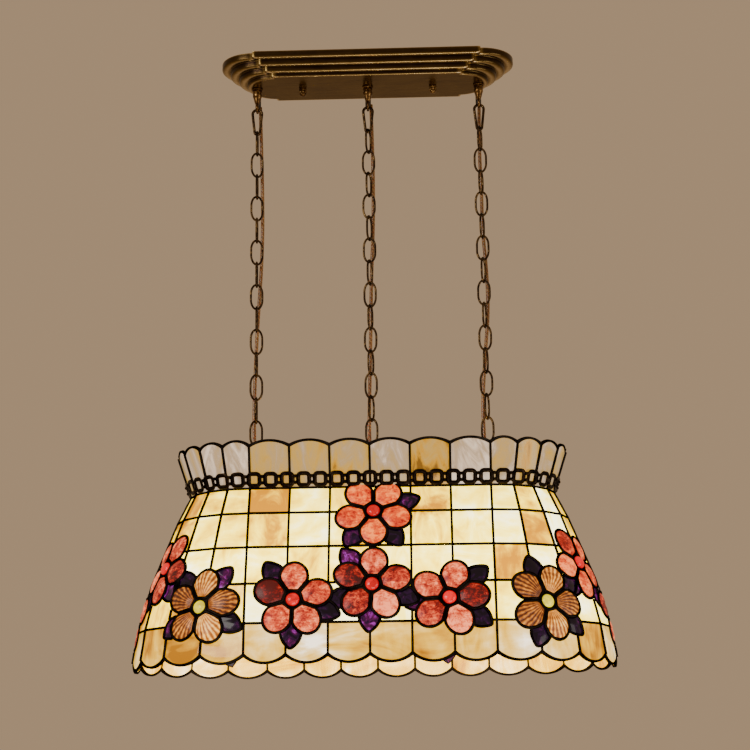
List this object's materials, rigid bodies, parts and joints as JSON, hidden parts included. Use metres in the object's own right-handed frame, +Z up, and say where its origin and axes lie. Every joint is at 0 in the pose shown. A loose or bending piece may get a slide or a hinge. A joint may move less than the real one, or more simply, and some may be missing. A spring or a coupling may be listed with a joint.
{
  "type": "pool table lamp",
  "caption": "Long pendant lamp for a pool table: leaded shell-glass shade with flowers, hung by chains from a stepped brass canopy.",
  "frame": {"origin": "centre of the ceiling strap's upper face, on the ceiling plane", "axes": "+Z up, +X along the shade's length, +Y across it"},
  "size_m": [0.6306, 0.3246, 0.8516],
  "materials": {
    "antique_brass": "brushed antique brass, dark patina with golden edges",
    "dark_bronze": "aged dark bronze",
    "steel": "zinc plated",
    "black_plastic": "satin black",
    "white_plastic": "satin white",
    "porcelain": "glazed",
    "cord_skin": "translucent amber",
    "cream_shell": "opal shell glass, marbled cream and amber, lit from inside",
    "crown_shell": "opal shell glass, marbled grey and tan",
    "coral_shell": "mottled coral shell glass, domed",
    "ribbed_shell": "ribbed brown scallop shell",
    "amethyst_glass": "dark amethyst glass",
    "red_glass": "cut red cabochon",
    "yellow_glass": "yellow-green cabochon",
    "solder": "black patina solder over copper foil",
    "bulb_glass": "frosted, lit",
    "lamp_cap": "rolled thread"
  },
  "bodies": {
    "ceiling_set": {"ceiling_strap": "steel", "earth_screw": "antique_brass", "canopy": "antique_brass", "canopy_studs": "steel", "stud_nuts": "steel", "cap_nuts": "antique_brass", "canopy_nipples": "steel", "canopy_washers": "steel", "canopy_nuts": "steel", "collar_seats": "antique_brass", "upper_cord_sleeves": "black_plastic", "terminal_block": "white_plastic", "terminal_screws": "steel", "canopy_loops": "antique_brass"},
    "hangers": {"hanger_links": "dark_bronze"},
    "left_chain": {"chain_left": "dark_bronze", "cord_left": "cord_skin"},
    "centre_chain": {"chain_centre": "dark_bronze", "cord_centre": "cord_skin"},
    "right_chain": {"chain_right": "dark_bronze", "cord_right": "cord_skin"},
    "shade": {"neck_ring": "dark_bronze", "cross_bars": "dark_bronze", "shade_nipples": "steel", "shade_nuts": "steel", "lower_cord_sleeves": "black_plastic", "shade_loops": "dark_bronze", "holder_caps": "antique_brass", "holder_shells": "antique_brass", "holder_cores": "porcelain", "bulb_bases": "lamp_cap", "bulb_globes": "bulb_glass", "crown_row_panes": "crown_shell", "crown_row_came": "solder", "coral_petals": "coral_shell", "ribbed_shell_petals": "ribbed_shell", "dark_leaves": "amethyst_glass", "red_buttons": "red_glass", "yellow_buttons": "yellow_glass", "flower_came": "solder", "neck_band": "dark_bronze", "first_row_panes": "cream_shell", "first_row_came": "solder", "second_row_panes": "cream_shell", "second_row_came": "solder", "third_row_panes": "cream_shell", "third_row_came": "solder", "fourth_row_panes": "cream_shell", "fourth_row_came": "solder", "foot_row_panes": "cream_shell", "foot_row_came": "solder"}
  },
  "joints": [
    {"name": "front_back_swing", "type": "hinge", "parent": "ceiling_set", "child": "hangers", "pos_m": [0, 0, -0.06575], "axis": [1, 0, 0], "range_deg": [-20, 20]},
    {"name": "side_swing", "type": "hinge", "parent": "hangers", "child": "centre_chain", "pos_m": [0, 0, -0.099], "axis": [0, 1, 0], "range_deg": [-20, 20]},
    {"name": "left_chain_swing", "type": "hinge", "parent": "hangers", "child": "left_chain", "pos_m": [-0.1565, 0, -0.099], "axis": [0, 1, 0], "range_deg": [-20, 20]},
    {"name": "right_chain_swing", "type": "hinge", "parent": "hangers", "child": "right_chain", "pos_m": [0.1565, 0, -0.099], "axis": [0, 1, 0], "range_deg": [-20, 20]},
    {"name": "shade_levelling", "type": "hinge", "parent": "centre_chain", "child": "shade", "pos_m": [0, 0, -0.582], "axis": [0, 1, 0], "range_deg": [-20, 20]}
  ],
  "couplings": [
    {"joint": "left_chain_swing", "follows": "side_swing", "ratio": 1},
    {"joint": "right_chain_swing", "follows": "side_swing", "ratio": 1},
    {"joint": "shade_levelling", "follows": "side_swing", "ratio": -1}
  ]
}
